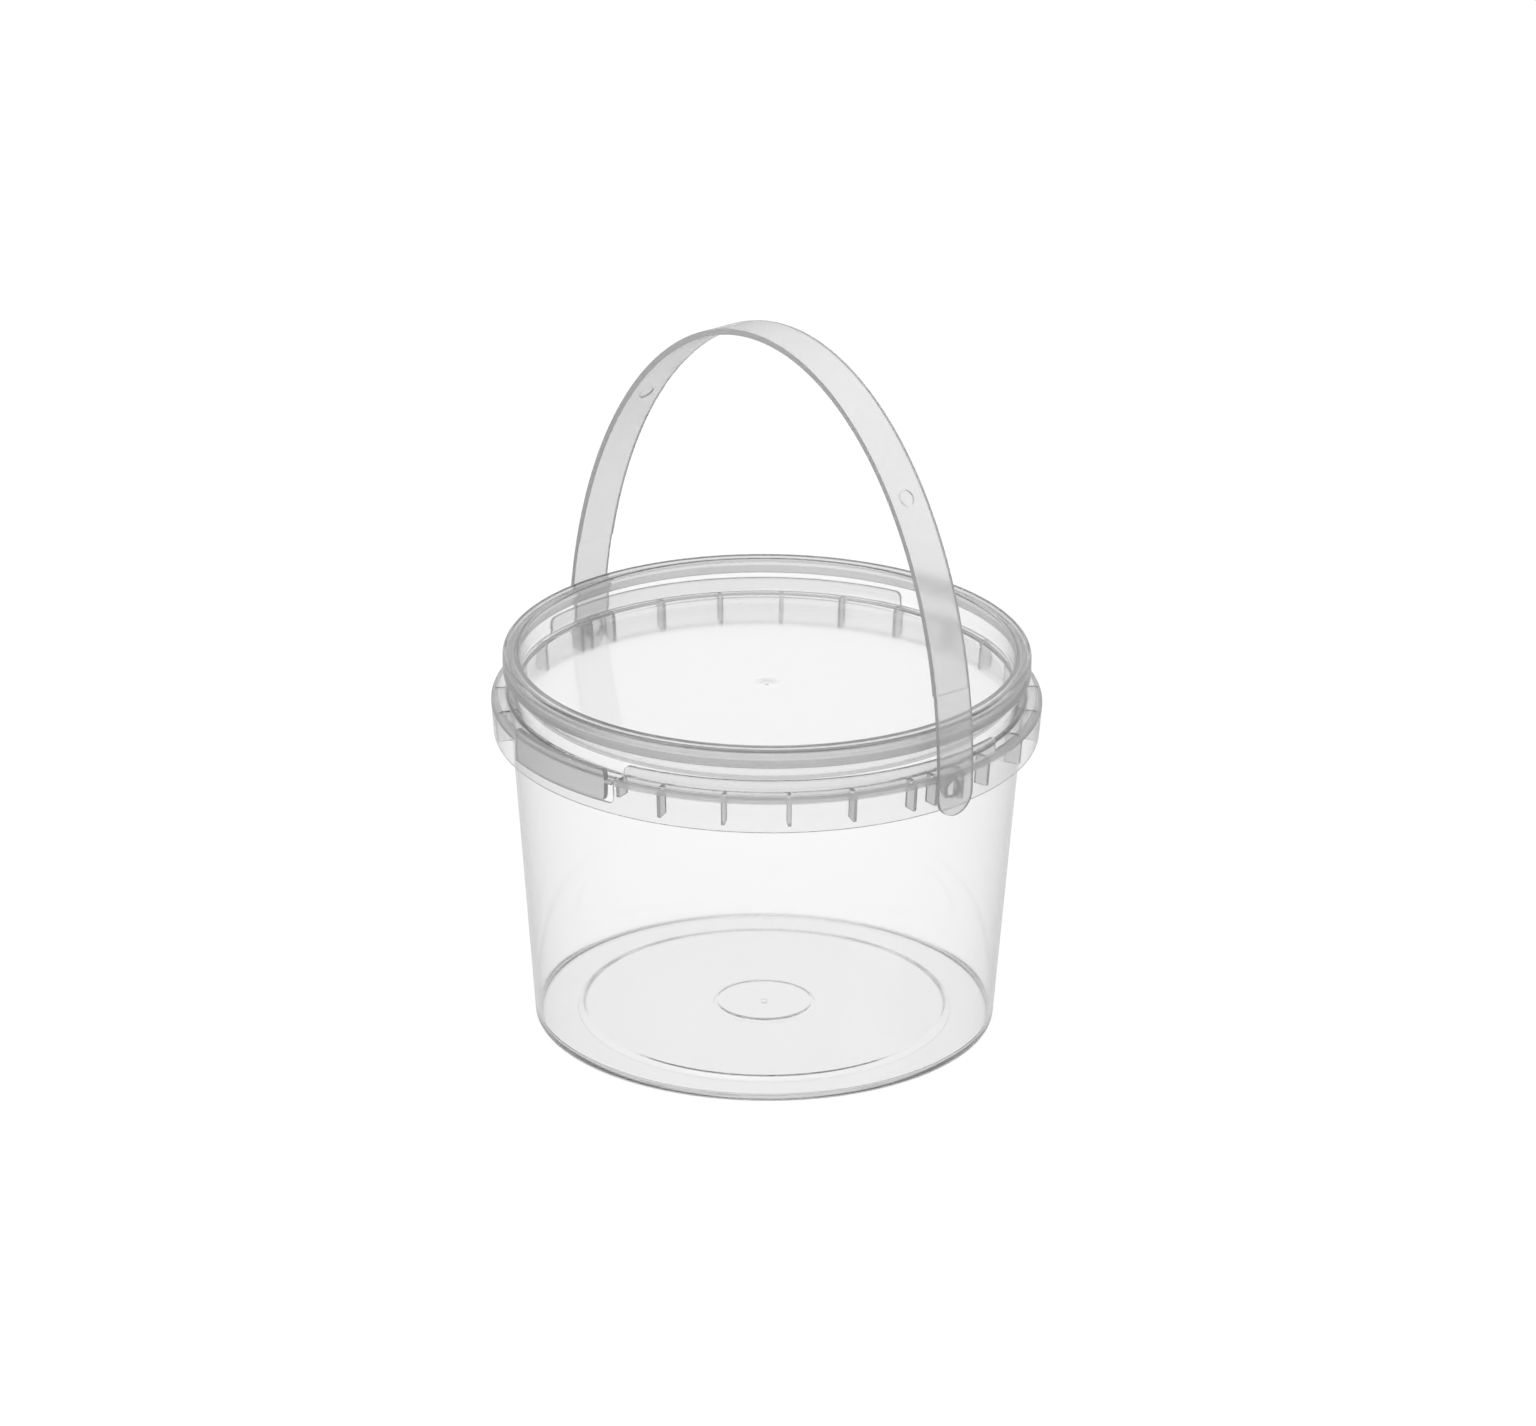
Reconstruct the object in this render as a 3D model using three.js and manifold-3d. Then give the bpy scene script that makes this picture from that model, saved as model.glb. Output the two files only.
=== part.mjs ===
// Clear pail of about one litre: a drafted tub with a ribbed skirt and a tear tab,
// a recessed snap lid and a strap handle that turns on two pegs. Millimetres, +Z up.
// The origin is the centre of the base. The handle turns about an axis along X,
// and the tear tab is at the front, on the -Y side.
import * as THREE from 'three';
import { mergeVertices } from 'three/addons/utils/BufferGeometryUtils.js';
import Module from 'manifold-3d';

// Tub: radii are outside ones, and the bead runs round the neck just under the rim
const BASE_RADIUS = 55.9;
const WALL_DRAFT_DEG = 4.41;
const TUB_HEIGHT = 92.8;
const TUB_WALL = 1.05;
const BASE_ROUND = 0.6;
const RIM_ROUND = 0.4;
const BEAD = 0.35;
const BEAD_DROP = 0.6;
const BEAD_SPAN = 0.9;

// Floor: it stands on a flat ring, and is raised inside it and again at the gate disc
const FLOOR = 1.05;
const FLOOR_ROUND = 1.5;
const FOOT_WIDTH = 10.9;
const FOOT_RISE = 0.8;
const DISC_RADIUS = 11.5;
const DISC_RISE = 0.3;
const GATE_STUB_RADIUS = 0.8;
const GATE_STUB = 0.6;

// Collar: the web goes out from the neck, and the skirt hangs from it. The web's top
// is the collar's drop below the rim, and the skirt reaches out from the neck.
const COLLAR_DROP = 9.5;
const WEB = 0.9;
const WEB_ROUND = 0.4;
const SKIRT_REACH = 4.35;
const SKIRT_DEPTH = 9.3;
const SKIRT_WALL = 0.9;
const SKIRT_DRAFT_DEG = 4.5;
const SKIRT_ROUND = 1.0;

// Guard: a low wall on the web, over a stretch at the front and one opposite
const GUARD_HEIGHT = 3.9;
const GUARD_WALL = 0.8;
const GUARD_INSET = 0.9;
const GUARD_ROUND = 0.25;
const GUARD_END_ROUND = 1.6;
const GUARD_FROM_DEG = -71.8;
const GUARD_TO_DEG = 14.8;

// Ribs under the web, in a front and a rear run of half a turn, each from its own start
const RIBS_IN_RUN = 13;
const RIB_PITCH_DEG = 13.75;
const FRONT_RUN_DEG = -8.7;
const REAR_RUN_DEG = 163.3;
const RIB = 0.9;
const RIB_LIFT = 1.5;
const SOCKET_HALF_WIDTH = 3.9;
const SOCKET_CLEAR = 3.0;

// Handle: the pivot is its drop below the web's top, and the arch rises from there and
// leans a little to the back, as it is left standing
const PIVOT_DROP = 3.9;
const ARCH_HEIGHT = 95.5;
const STRAP_WIDTH = 10.7;
const STRAP = 1.5;
const LEG = 1.2;
const LEG_RISE = 24.0;
const LEG_TAIL = 6.5;
const LEG_GAP = 0.5;
const HANDLE_LEAN_DEG = 1.4;
const PEG_RADIUS = 2.2;
const PEG_GAP = 0.3;
const HEAD_RADIUS = 2.7;
const HEAD_TIP_RADIUS = 2.1;
const HEAD = 1.1;
const HEAD_GAP = 0.3;
const EJECTOR_MARK_RADIUS = 2.0;
const EJECTOR_MARK_DEPTH = 0.25;
const EJECTOR_MARK_DEG = 45.2;

// Tear tab: its bottom lies above the skirt's and its top above the web's
const TAB_FROM_DEG = -104.9;
const TAB_TO_DEG = -76.1;
const TAB_LIFT = 3.0;
const TAB_RISE = 1.7;
const TAB_WALL = 1.1;
const TAB_ROUND = 2.0;
const TAB_GAP = 0.3;
const TAB_END_GAP = 2.4;
const BRIDGE = 0.7;
const BRIDGE_DROP = 2.6;

// Lid: a channel over the rim, a plug wall inside the neck and a recessed panel
const LID_GAP = 0.3;
const LID_WALL = 1.0;
const LID_PANEL = 0.9;
const LID_SKIRT = 0.75;
const LID_SKIRT_DEPTH = 4.6;
const LID_RECESS = 8.8;
const LID_ROUND = 0.85;
const LID_INNER_ROUND = 0.5;
const CHANNEL_ROUND = 0.4;
const PLUG_TAPER = 0.4;
const PLUG_ROUND = 2.5;
const HOOK = 0.2;
const HOOK_RISE = 0.5;
const GATE_DIMPLE_RADIUS = 2.6;
const GATE_DIMPLE = 0.35;
const GATE_DIMPLE_SLOPE = 0.8;
const GATE_NUB_RADIUS = 0.6;

// How deep joined shapes reach into each other, one overrun for all cuts, and the
// fineness of the round shapes
const BURY = 0.4;
const OVERRUN = 2.0;
const ROUND_STEPS = 72;
const FILLET_STEPS = 2;
const CORNER_STEPS = 4;
const ARCH_STEPS = 50;
const LEG_STEPS = 4;
const PEG_STEPS = 20;
const MARK_STEPS = 14;

const wasm = await Module();
wasm.setup();

const radians = (degrees) => THREE.MathUtils.degToRad(degrees);
const wallSlope = Math.tan(radians(WALL_DRAFT_DEG));
const skirtSlope = Math.tan(radians(SKIRT_DRAFT_DEG));
const tubRadiusAt = (z) => BASE_RADIUS + z * wallSlope;

const webTop = TUB_HEIGHT - COLLAR_DROP;
const webBottom = webTop - WEB;
const neckRadius = tubRadiusAt(webTop);
const neckInner = neckRadius - TUB_WALL;
const skirtRadius = neckRadius + SKIRT_REACH;
const skirtBottom = webTop - SKIRT_DEPTH;
const skirtRadiusAt = (z) => skirtRadius - (webTop - z) * skirtSlope;
const guardRadius = skirtRadius - GUARD_INSET;
const guardTop = webTop + GUARD_HEIGHT;
const ribBottom = skirtBottom + RIB_LIFT;
const pivotHeight = webTop - PIVOT_DROP;
const tabBottom = skirtBottom + TAB_LIFT;
const tabTop = webTop + TAB_RISE;
const outsideReach = skirtRadius + OVERRUN;

// A closed mesh as a solid: shared vertices merged, empty faces dropped, facing out.
function toSolid(geometry) {
  const bare = geometry.index ? geometry.toNonIndexed() : geometry.clone();
  bare.deleteAttribute('normal');
  bare.deleteAttribute('uv');
  const merged = mergeVertices(bare);
  const corners = merged.index.array;
  const at = (i) => new THREE.Vector3().fromBufferAttribute(merged.attributes.position, i);
  const faces = [];
  let volume = 0;
  for (let i = 0; i < corners.length; i += 3) {
    const [a, b, c] = [corners[i], corners[i + 1], corners[i + 2]];
    if (a === b || b === c || c === a) continue;
    faces.push([a, b, c]);
    volume += at(a).dot(at(b).cross(at(c)));
  }
  const outward = volume > 0 ? faces : faces.map(([a, b, c]) => [a, c, b]);
  const vertProperties = new Float32Array(merged.attributes.position.array);
  const triVerts = new Uint32Array(outward.flat());
  return new wasm.Manifold(new wasm.Mesh({ numProp: 3, vertProperties, triVerts }));
}

// A named mesh of one solid in a moulded plastic.
function asMesh(name, solid, look) {
  const { numProp, vertProperties, triVerts } = solid.getMesh();
  const buffer = new THREE.InterleavedBuffer(vertProperties, numProp);
  const positions = new THREE.BufferGeometry();
  positions.setAttribute('position', new THREE.InterleavedBufferAttribute(buffer, 3, 0));
  positions.setIndex(new THREE.BufferAttribute(triVerts, 1));
  const geometry = positions.toNonIndexed();
  geometry.computeVertexNormals();
  const mesh = new THREE.Mesh(geometry, new THREE.MeshStandardMaterial(look));
  mesh.name = name;
  return mesh;
}

// An outline from a few corners [x, y, round, steps]: each rounded corner becomes an
// arc that touches both of its sides.
function filleted(corners, closed = false) {
  const points = [];
  corners.forEach(([x, y, round = 0, steps = FILLET_STEPS], i) => {
    const corner = new THREE.Vector2(x, y);
    const isEnd = !closed && (i === 0 || i === corners.length - 1);
    if (round === 0 || isEnd) {
      points.push(corner);
      return;
    }
    const before = corners.at(i - 1);
    const after = corners[(i + 1) % corners.length];
    const back = new THREE.Vector2(before[0], before[1]).sub(corner).normalize();
    const on = new THREE.Vector2(after[0], after[1]).sub(corner).normalize();
    const half = Math.acos(THREE.MathUtils.clamp(back.dot(on), -1, 1)) / 2;
    const middle = back.clone().add(on).normalize();
    const centre = corner.clone().addScaledVector(middle, round / Math.sin(half));
    const start = corner.clone().addScaledVector(back, round / Math.tan(half)).sub(centre);
    const sweep = Math.PI - 2 * half;
    const turn = -Math.sign(back.cross(on));
    for (let step = 0; step <= steps; step += 1) {
      const swung = start.clone().rotateAround(new THREE.Vector2(), turn * sweep * step / steps);
      points.push(swung.add(centre));
    }
  });
  return points;
}

// A turned solid from an outline in (radius, height) that starts and ends on the axis.
function turned(corners) {
  const lathe = new THREE.LatheGeometry(filleted(corners), ROUND_STEPS);
  return toSolid(lathe.rotateX(Math.PI / 2));
}

// A turned ring from a closed outline in (radius, height).
function ring(corners) {
  const outline = filleted(corners, true);
  const lathe = new THREE.LatheGeometry([...outline, outline[0]], ROUND_STEPS);
  return toSolid(lathe.rotateX(Math.PI / 2));
}

// An outline in (x, z), given depth along Y between two places.
function uprightPrism(points, fromY, toY) {
  const shape = new THREE.Shape(points);
  const prism = new THREE.ExtrudeGeometry(shape, { depth: toY - fromY, bevelEnabled: false });
  return toSolid(prism.rotateX(Math.PI / 2)).translate([0, toY, 0]);
}

// A wedge between two angles about the axis, reaching past a radius, between two heights.
function sector(fromDeg, toDeg, radius, bottom, top) {
  const shape = new THREE.Shape();
  shape.moveTo(0, 0);
  shape.absarc(0, 0, radius, radians(fromDeg), radians(toDeg), false);
  const wedge = new THREE.ExtrudeGeometry(shape, { depth: top - bottom, bevelEnabled: false });
  return toSolid(wedge.translate(0, 0, bottom));
}

// A round bar along X between two places at the pivot's height.
function pivotBar(fromX, toX, fromRadius, toRadius = fromRadius) {
  const bar = new THREE.CylinderGeometry(toRadius, fromRadius, toX - fromX, PEG_STEPS);
  bar.rotateZ(-Math.PI / 2);
  bar.translate((fromX + toX) / 2, 0, pivotHeight);
  return toSolid(bar);
}

// The tub: floor with its foot ring, drafted wall, web, skirt and rim in one moulding.
function tubShell() {
  const footInner = BASE_RADIUS - FOOT_WIDTH;
  const floorEdge = tubRadiusAt(FLOOR) - TUB_WALL;
  const beadHeight = TUB_HEIGHT - BEAD_DROP;
  const discBottom = FOOT_RISE + DISC_RISE;
  return turned([
    [0, discBottom - GATE_STUB],
    [GATE_STUB_RADIUS, discBottom - GATE_STUB],
    [GATE_STUB_RADIUS, discBottom],
    [DISC_RADIUS, discBottom],
    [DISC_RADIUS + DISC_RISE, FOOT_RISE],
    [footInner - FOOT_RISE, FOOT_RISE],
    [footInner, 0],
    [BASE_RADIUS, 0, BASE_ROUND],
    [tubRadiusAt(webBottom), webBottom],
    [skirtRadiusAt(webBottom) - SKIRT_WALL, webBottom],
    [skirtRadiusAt(skirtBottom) - SKIRT_WALL, skirtBottom],
    [skirtRadiusAt(skirtBottom), skirtBottom],
    [skirtRadius, webTop, SKIRT_ROUND],
    [neckRadius, webTop, WEB_ROUND],
    [neckRadius, beadHeight - BEAD_SPAN],
    [neckRadius + BEAD, beadHeight],
    [neckRadius, TUB_HEIGHT, RIM_ROUND],
    [neckInner, TUB_HEIGHT, RIM_ROUND],
    [neckInner, webTop],
    [floorEdge, FLOOR, FLOOR_ROUND],
    [footInner + FOOT_RISE, FLOOR],
    [footInner, FLOOR + FOOT_RISE],
    [DISC_RADIUS + DISC_RISE, FLOOR + FOOT_RISE],
    [DISC_RADIUS, FLOOR + discBottom],
    [0, FLOOR + discBottom],
  ]);
}

// What a quarter round takes off the top corner of a wall that stands across Y and
// runs from x = 0 towards +X.
function cornerCut(fromY, toY) {
  const foot = guardTop - GUARD_END_ROUND;
  const outline = new THREE.Shape();
  outline.moveTo(-OVERRUN, foot);
  outline.lineTo(0, foot);
  outline.absarc(GUARD_END_ROUND, foot, GUARD_END_ROUND, Math.PI, Math.PI / 2, true);
  outline.lineTo(GUARD_END_ROUND, guardTop + OVERRUN);
  outline.lineTo(-OVERRUN, guardTop + OVERRUN);
  return uprightPrism(outline.getPoints(CORNER_STEPS), fromY, toY);
}

// The guard: each stretch is a piece of a turned wall with its two top corners rounded.
function guardWalls() {
  const inner = guardRadius - GUARD_WALL;
  const foot = webTop - BURY;
  const wall = ring([
    [inner, foot],
    [guardRadius, foot],
    [guardRadius, guardTop, GUARD_ROUND],
    [inner, guardTop, GUARD_ROUND],
  ]);
  const corner = cornerCut(-outsideReach, OVERRUN - inner);
  const stretch = sector(GUARD_FROM_DEG, GUARD_TO_DEG, outsideReach, skirtBottom, guardTop + OVERRUN)
    .intersect(wall)
    .subtract(corner.rotate([0, 0, GUARD_FROM_DEG + 90]))
    .subtract(corner.mirror([1, 0, 0]).rotate([0, 0, GUARD_TO_DEG + 90]));
  return stretch.add(stretch.rotate([0, 0, 180]));
}

// One plate under the web, from the wall to the skirt, at an angle about the axis.
function ribAt(degrees) {
  const top = webBottom + BURY;
  const inside = (z) => tubRadiusAt(z) - BURY;
  const outside = (z) => skirtRadiusAt(z) - BURY;
  const outline = [
    new THREE.Vector2(inside(ribBottom), ribBottom),
    new THREE.Vector2(outside(ribBottom), ribBottom),
    new THREE.Vector2(outside(top), top),
    new THREE.Vector2(inside(top), top),
  ];
  return uprightPrism(outline, -RIB / 2, RIB / 2).rotate([0, 0, degrees]);
}

// Ribs round both runs, but for the two sockets of the pegs, which have a wall of
// their own on each side.
function skirtRibs() {
  const socketDeg = THREE.MathUtils.radToDeg(Math.asin(SOCKET_HALF_WIDTH / skirtRadius));
  const places = [socketDeg, -socketDeg, 180 - socketDeg, 180 + socketDeg];
  for (const start of [FRONT_RUN_DEG, REAR_RUN_DEG]) {
    for (let i = 0; i < RIBS_IN_RUN; i += 1) {
      const place = start - i * RIB_PITCH_DEG;
      const fromPivotAxis = skirtRadius * Math.abs(Math.sin(radians(place)));
      if (fromPivotAxis > SOCKET_HALF_WIDTH + SOCKET_CLEAR) places.push(place);
    }
  }
  return wasm.Manifold.union(places.map(ribAt));
}

// The tab's outline seen from the front, with a gap all round it and a wider one at
// its free end.
function tabPrism(gap, endGap, top, topRound) {
  const left = skirtRadius * Math.cos(radians(TAB_FROM_DEG)) - gap;
  const right = skirtRadius * Math.cos(radians(TAB_TO_DEG)) + endGap;
  const bottom = tabBottom - gap;
  const corners = [
    [left, bottom],
    [right, bottom, TAB_ROUND + gap],
    [right, top, topRound],
    [left, top],
  ];
  return uprightPrism(filleted(corners, true), -outsideReach, 0);
}

// The space around the tab, cut from the skirt, the web and the ribs' ends.
function tabSlot() {
  const inner = skirtRadiusAt(tabBottom) - TAB_WALL - TAB_GAP;
  const foot = skirtBottom - OVERRUN;
  const top = tabTop + OVERRUN;
  const band = ring([
    [inner, foot],
    [outsideReach, foot],
    [outsideReach, top],
    [inner, top],
  ]);
  return band.intersect(tabPrism(TAB_GAP, TAB_END_GAP, top + OVERRUN, 0));
}

function pailBody() {
  const hole = pivotBar(tubRadiusAt(pivotHeight) + BURY, outsideReach, PEG_RADIUS + PEG_GAP);
  return tubShell()
    .add(skirtRibs())
    .add(guardWalls())
    .subtract(tabSlot())
    .subtract(hole)
    .subtract(hole.rotate([0, 0, 180]));
}

// The tear tab: a curved strip in line with the skirt, round at its free end, with a
// small bridge there that the first pull breaks.
function tearTab() {
  const inner = skirtRadiusAt(tabBottom) - TAB_WALL;
  const strip = ring([
    [inner, tabBottom],
    [skirtRadiusAt(tabBottom), tabBottom],
    [skirtRadius, webTop],
    [skirtRadius, tabTop],
    [inner, tabTop],
  ]);
  const bridgeTop = tabTop - BRIDGE_DROP;
  const tip = skirtRadius * Math.cos(radians(TAB_TO_DEG));
  const bridgeTip = tip + TAB_END_GAP - TAB_GAP;
  const bridge = uprightPrism([
    new THREE.Vector2(tip - BURY, bridgeTop - BRIDGE),
    new THREE.Vector2(bridgeTip, bridgeTop - BRIDGE),
    new THREE.Vector2(bridgeTip, bridgeTop),
    new THREE.Vector2(tip - BURY, bridgeTop),
  ], -outsideReach, 0);
  return strip.intersect(tabPrism(0, 0, tabTop, TAB_ROUND).add(bridge));
}

// The lid: a channel over the rim, a plug wall down inside the neck and a flat panel.
function snapLid() {
  const roofBottom = TUB_HEIGHT + LID_GAP;
  const lidTop = roofBottom + LID_WALL;
  const panelTop = lidTop - LID_RECESS;
  const panelBottom = panelTop - LID_PANEL;
  const plugRadius = neckInner - LID_GAP;
  const plugInner = plugRadius - LID_WALL;
  const skirtInner = neckRadius + BEAD + LID_GAP;
  const skirtOuter = skirtInner + LID_SKIRT;
  const lidBottom = lidTop - LID_SKIRT_DEPTH;
  const dimpleBottom = panelTop - GATE_DIMPLE;
  return turned([
    [0, panelBottom],
    [plugRadius - PLUG_TAPER, panelBottom, PLUG_ROUND + LID_PANEL, CORNER_STEPS],
    [plugRadius, roofBottom, CHANNEL_ROUND],
    [skirtInner, roofBottom, CHANNEL_ROUND],
    [skirtInner, lidBottom + HOOK_RISE + HOOK_RISE],
    [skirtInner - HOOK, lidBottom + HOOK_RISE],
    [skirtInner, lidBottom],
    [skirtOuter, lidBottom],
    [skirtOuter, lidTop, LID_ROUND],
    [plugInner, lidTop, LID_INNER_ROUND],
    [plugInner - PLUG_TAPER, panelTop, PLUG_ROUND, CORNER_STEPS],
    [GATE_DIMPLE_RADIUS, panelTop],
    [GATE_DIMPLE_RADIUS - GATE_DIMPLE_SLOPE, dimpleBottom],
    [GATE_NUB_RADIUS, dimpleBottom],
    [GATE_NUB_RADIUS, panelTop],
    [0, panelTop],
  ]);
}

// A vertical plate as wide as the strap, with a half-round foot where the legs end.
function strapTrim(span) {
  const half = STRAP_WIDTH / 2;
  const side = new THREE.Shape();
  side.moveTo(half, ARCH_HEIGHT + OVERRUN);
  side.lineTo(-half, ARCH_HEIGHT + OVERRUN);
  side.lineTo(-half, half - LEG_TAIL);
  side.absarc(0, half - LEG_TAIL, half, Math.PI, 2 * Math.PI, false);
  const reach = span + OVERRUN;
  const plate = new THREE.ExtrudeGeometry(side, { depth: reach + reach, bevelEnabled: false });
  plate.translate(0, 0, -reach);
  plate.rotateX(Math.PI / 2);
  plate.rotateZ(Math.PI / 2);
  return toSolid(plate);
}

// The handle: half an ellipse over the pivots, a little thinner where the legs pass
// the skirt, with a peg and its head on the inside of each leg and two ejector marks.
function strapHandle() {
  const legInner = skirtRadius + LEG_GAP;
  const span = legInner + LEG;
  const archAt = (angle) => new THREE.Vector2(span * Math.cos(angle), ARCH_HEIGHT * Math.sin(angle));
  const outwardAt = (angle) => new THREE.Vector2(Math.cos(angle) / span, Math.sin(angle) / ARCH_HEIGHT);
  const along = (from, to, steps, inset) => Array.from({ length: steps + 1 }, (_, step) => {
    const angle = from + (to - from) * step / steps;
    return archAt(angle).addScaledVector(outwardAt(angle).normalize(), -inset);
  });
  const legEnd = Math.asin(LEG_RISE / ARCH_HEIGHT);
  const outline = [
    new THREE.Vector2(span, -LEG_TAIL),
    ...along(0, Math.PI, ARCH_STEPS, 0),
    new THREE.Vector2(-span, -LEG_TAIL),
    new THREE.Vector2(-legInner, -LEG_TAIL),
    ...along(Math.PI, Math.PI - legEnd, LEG_STEPS, LEG),
    ...along(Math.PI - legEnd, legEnd, ARCH_STEPS, STRAP),
    ...along(legEnd, 0, LEG_STEPS, LEG),
    new THREE.Vector2(legInner, -LEG_TAIL),
  ];
  const strap = uprightPrism(outline, -STRAP_WIDTH / 2, STRAP_WIDTH / 2)
    .intersect(strapTrim(span))
    .translate([0, 0, pivotHeight]);

  const headOuter = skirtRadiusAt(pivotHeight) - SKIRT_WALL - HEAD_GAP;
  const peg = pivotBar(headOuter - BURY, legInner + BURY, PEG_RADIUS)
    .add(pivotBar(headOuter - HEAD, headOuter, HEAD_TIP_RADIUS, HEAD_RADIUS));

  const markAngle = radians(EJECTOR_MARK_DEG);
  const place = archAt(markAngle);
  const cutter = new THREE.CylinderGeometry(EJECTOR_MARK_RADIUS, EJECTOR_MARK_RADIUS, OVERRUN, MARK_STEPS);
  cutter.rotateZ(Math.PI / 2);
  cutter.translate(EJECTOR_MARK_DEPTH - STRAP - OVERRUN / 2, 0, 0);
  cutter.rotateY(-outwardAt(markAngle).angle());
  cutter.translate(place.x, 0, pivotHeight + place.y);
  const mark = toSolid(cutter);

  return strap
    .add(peg)
    .add(peg.rotate([0, 0, 180]))
    .subtract(mark)
    .subtract(mark.rotate([0, 0, 180]))
    .translate([0, 0, -pivotHeight])
    .rotate([-HANDLE_LEAN_DEG, 0, 0])
    .translate([0, 0, pivotHeight]);
}

const clear = { color: 0xe9ecee, roughness: 0.22, metalness: 0, transparent: true };

const pail = new THREE.Group();
pail.add(asMesh('pail_body', pailBody(), { ...clear, opacity: 0.35 }));
pail.add(asMesh('lid', snapLid(), { ...clear, opacity: 0.3 }));
pail.add(asMesh('handle', strapHandle(), { ...clear, opacity: 0.6 }));
pail.add(asMesh('tear_tab', tearTab(), { ...clear, opacity: 0.5 }));

export default pail;
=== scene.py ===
import math

import bmesh
import bpy
from mathutils import Matrix, Vector


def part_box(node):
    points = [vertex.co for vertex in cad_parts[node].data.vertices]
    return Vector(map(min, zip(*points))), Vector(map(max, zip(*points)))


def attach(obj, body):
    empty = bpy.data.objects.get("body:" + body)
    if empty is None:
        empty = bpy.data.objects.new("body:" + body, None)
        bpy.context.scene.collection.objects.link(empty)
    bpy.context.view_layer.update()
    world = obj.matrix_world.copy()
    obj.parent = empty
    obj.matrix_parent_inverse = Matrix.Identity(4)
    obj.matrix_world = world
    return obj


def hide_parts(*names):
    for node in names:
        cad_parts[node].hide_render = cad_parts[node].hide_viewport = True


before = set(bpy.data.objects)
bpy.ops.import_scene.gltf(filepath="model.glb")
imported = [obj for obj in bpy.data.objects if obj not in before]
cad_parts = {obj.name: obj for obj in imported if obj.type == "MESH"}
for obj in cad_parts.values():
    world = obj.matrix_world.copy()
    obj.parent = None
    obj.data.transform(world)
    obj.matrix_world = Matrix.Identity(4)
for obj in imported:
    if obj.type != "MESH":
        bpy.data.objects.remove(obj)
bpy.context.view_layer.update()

# The photograph's camera: a long lens a little above the pail, with the tear tab to
# its left and the handle's arch half side on. It looks at a point beside the pail's
# axis at the skirt's height, which is where the middle of the picture falls.
MM = 0.001
PICTURE_WIDTH = 1536
SENSOR_WIDTH = 36.0
FOCAL_PIXELS = 8973.0
VIEW_AZIMUTH = math.radians(48.9)
VIEW_ELEVATION = math.radians(23.13)
VIEW_DISTANCE = 2.18
VIEW_ROLL = math.radians(0.455)
PAIL_MIDDLE = Vector((0, 0, 46.0 * MM))
LOOK_HEIGHT = 77.5 * MM
LOOK_ASIDE = 0.33 * MM
NEAREST_SEEN = 0.05
FARTHEST_SEEN = 50.0

level = math.cos(VIEW_ELEVATION)
back = Vector((
    math.sin(VIEW_AZIMUTH) * level,
    -math.cos(VIEW_AZIMUTH) * level,
    math.sin(VIEW_ELEVATION),
))
to_the_right = Vector((math.cos(VIEW_AZIMUTH), math.sin(VIEW_AZIMUTH), 0))
stand = PAIL_MIDDLE + back * VIEW_DISTANCE
look_at = Vector((0, 0, LOOK_HEIGHT)) + to_the_right * LOOK_ASIDE
lens = bpy.data.cameras.new("photo_camera")
lens.sensor_width = SENSOR_WIDTH
lens.lens = FOCAL_PIXELS / PICTURE_WIDTH * SENSOR_WIDTH
lens.clip_start = NEAREST_SEEN
lens.clip_end = FARTHEST_SEEN
camera = bpy.data.objects.new("photo_camera", lens)
bpy.context.scene.collection.objects.link(camera)
turned_to = (look_at - stand).to_track_quat("-Z", "Y").to_matrix().to_4x4()
rolled = Matrix.Rotation(VIEW_ROLL, 4, "Z")
camera.matrix_world = Matrix.Translation(stand) @ turned_to @ rolled
bpy.context.scene.camera = camera
bpy.context.scene.view_settings.view_transform = "Standard"

# The studio: a wide pale floor under an even white sky, with one large soft lamp over
# the pail and a weaker one in front. The plastic mirrors both a little darker, the floor
# most, and the upper sky is a little darker too where it is seen through the plastic.
FLOOR_REACH = 6.0
FLOOR_SIDES = 64
FLOOR_GAP = 0.05 * MM
# The floor lights the pail with all of its colour. The eye gets a small part of that,
# which takes the pail's soft shadow, and an even glow.
FLOOR_COLOUR = 0.74
FLOOR_SEEN = 0.15
FLOOR_LIFT = 0.88
SKY_LIGHT = 0.9
FLOOR_MIRRORED_DARK = 0.3
SKY_MIRRORED_DARK = 0.08
CEILING_DARK = 0.2
CEILING_EDGE = 6.0
WHITE = (1.0, 1.0, 1.0, 1.0)


class Wire:
    """A node socket that adds, subtracts and multiplies as a number does."""

    def __init__(self, tree, socket=None):
        self.tree = tree
        self.socket = socket

    def node(self, kind, settings=(), **sockets):
        """A new node: its settings first, then what goes into its sockets by name."""
        made = self.tree.nodes.new(kind)
        for name, value in dict(settings).items():
            setattr(made, name, value)
        for name, value in sockets.items():
            self.feed(made.inputs[name.replace("_", " ")], value)
        return made

    def feed(self, socket, value):
        if isinstance(value, Wire):
            value = value.socket
        if isinstance(value, bpy.types.NodeSocket):
            self.tree.links.new(value, socket)
        else:
            socket.default_value = value

    def maths(self, operation, *values):
        made = self.node("ShaderNodeMath", {"operation": operation})
        for socket, value in zip(made.inputs, values):
            self.feed(socket, value)
        return Wire(self.tree, made.outputs["Value"])

    def clamped(self):
        return self.maths("MINIMUM", self.maths("MAXIMUM", self, 0.0), 1.0)

    def __add__(self, other):
        return self.maths("ADD", self, other)

    def __sub__(self, other):
        return self.maths("SUBTRACT", self, other)

    def __rsub__(self, other):
        return self.maths("SUBTRACT", other, self)

    def __mul__(self, other):
        return self.maths("MULTIPLY", self, other)

    __radd__ = __add__
    __rmul__ = __mul__


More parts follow.
